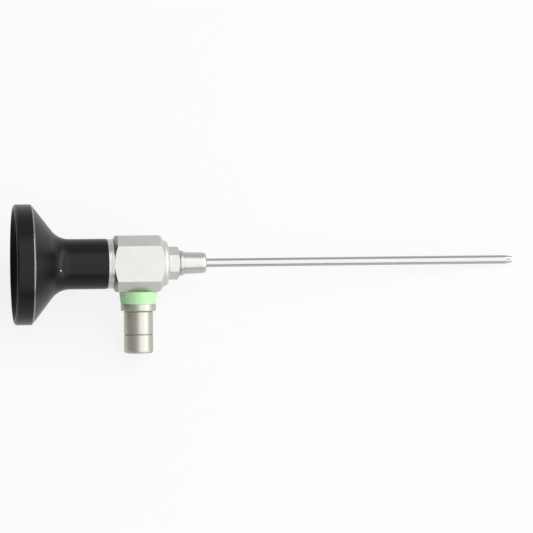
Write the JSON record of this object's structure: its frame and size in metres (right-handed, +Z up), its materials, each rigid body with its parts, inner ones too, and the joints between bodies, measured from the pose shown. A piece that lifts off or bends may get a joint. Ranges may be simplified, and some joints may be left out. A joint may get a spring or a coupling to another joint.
{
  "type": "rigid otoscope",
  "caption": "Rigid rod-lens ear endoscope, straight view, with a black eyecup, steel body, thin shaft and a side light post with a green code ring.",
  "frame": {"origin": "middle of the scope's outline on the table that it lies on, at table height", "axes": "+Z up; +X along the table from the eyecup towards the tip; the light post points along -Y and a little down"},
  "size_m": [0.1352, 0.039, 0.032],
  "materials": {
    "black_peek": "moulded black plastic with a soft satin sheen",
    "white_enamel": "small white index pin",
    "satin_steel": "fine satin, bead blasted and turned",
    "shaft_steel": "drawn and polished tube",
    "tube_steel": "drawn tube, as made",
    "green_plastic": "light green moulded plastic",
    "sapphire": "polished",
    "optical_glass": "polished and coated",
    "fibre_glass": "packed and polished fibre ends",
    "seal_rubber": "matte",
    "black_anodised": "black anodised"
  },
  "bodies": {
    "root": {"adapter_seal_ring": "seal_rubber", "body_block": "satin_steel", "code_ring": "green_plastic", "collar_ring": "satin_steel", "distal_window": "sapphire", "eyecup": "black_peek", "eyecup_seal_ring": "seal_rubber", "eyepiece_window": "sapphire", "field_stop": "black_anodised", "front_objective_lens": "optical_glass", "index_mark": "white_enamel", "light_ferrule": "satin_steel", "light_fibres": "fibre_glass", "light_window": "optical_glass", "lower_adapter": "satin_steel", "ocular_barrel": "black_anodised", "ocular_front_spacer": "black_anodised", "ocular_housing": "satin_steel", "ocular_inner_lens": "optical_glass", "ocular_lens_spacer": "black_anodised", "ocular_outer_lens": "optical_glass", "ocular_retaining_ring": "black_anodised", "optical_tube": "tube_steel", "post_collar": "satin_steel", "post_core": "satin_steel", "post_seal_ring": "seal_rubber", "rear_objective_lens": "optical_glass", "rod_lens_1": "optical_glass", "rod_lens_2": "optical_glass", "rod_lens_3": "optical_glass", "rod_lens_4": "optical_glass", "rod_lens_5": "optical_glass", "rod_lens_6": "optical_glass", "rod_spacer_1": "black_anodised", "rod_spacer_2": "black_anodised", "rod_spacer_3": "black_anodised", "rod_spacer_4": "black_anodised", "rod_spacer_5": "black_anodised", "rod_spacer_6": "black_anodised", "sheath_hub": "satin_steel", "sheath_nut": "satin_steel", "sheath_ring": "satin_steel", "sheath_tube": "shaft_steel", "upper_adapter": "satin_steel", "window_retaining_ring": "satin_steel", "window_seal_ring": "seal_rubber"}
  },
  "joints": []
}
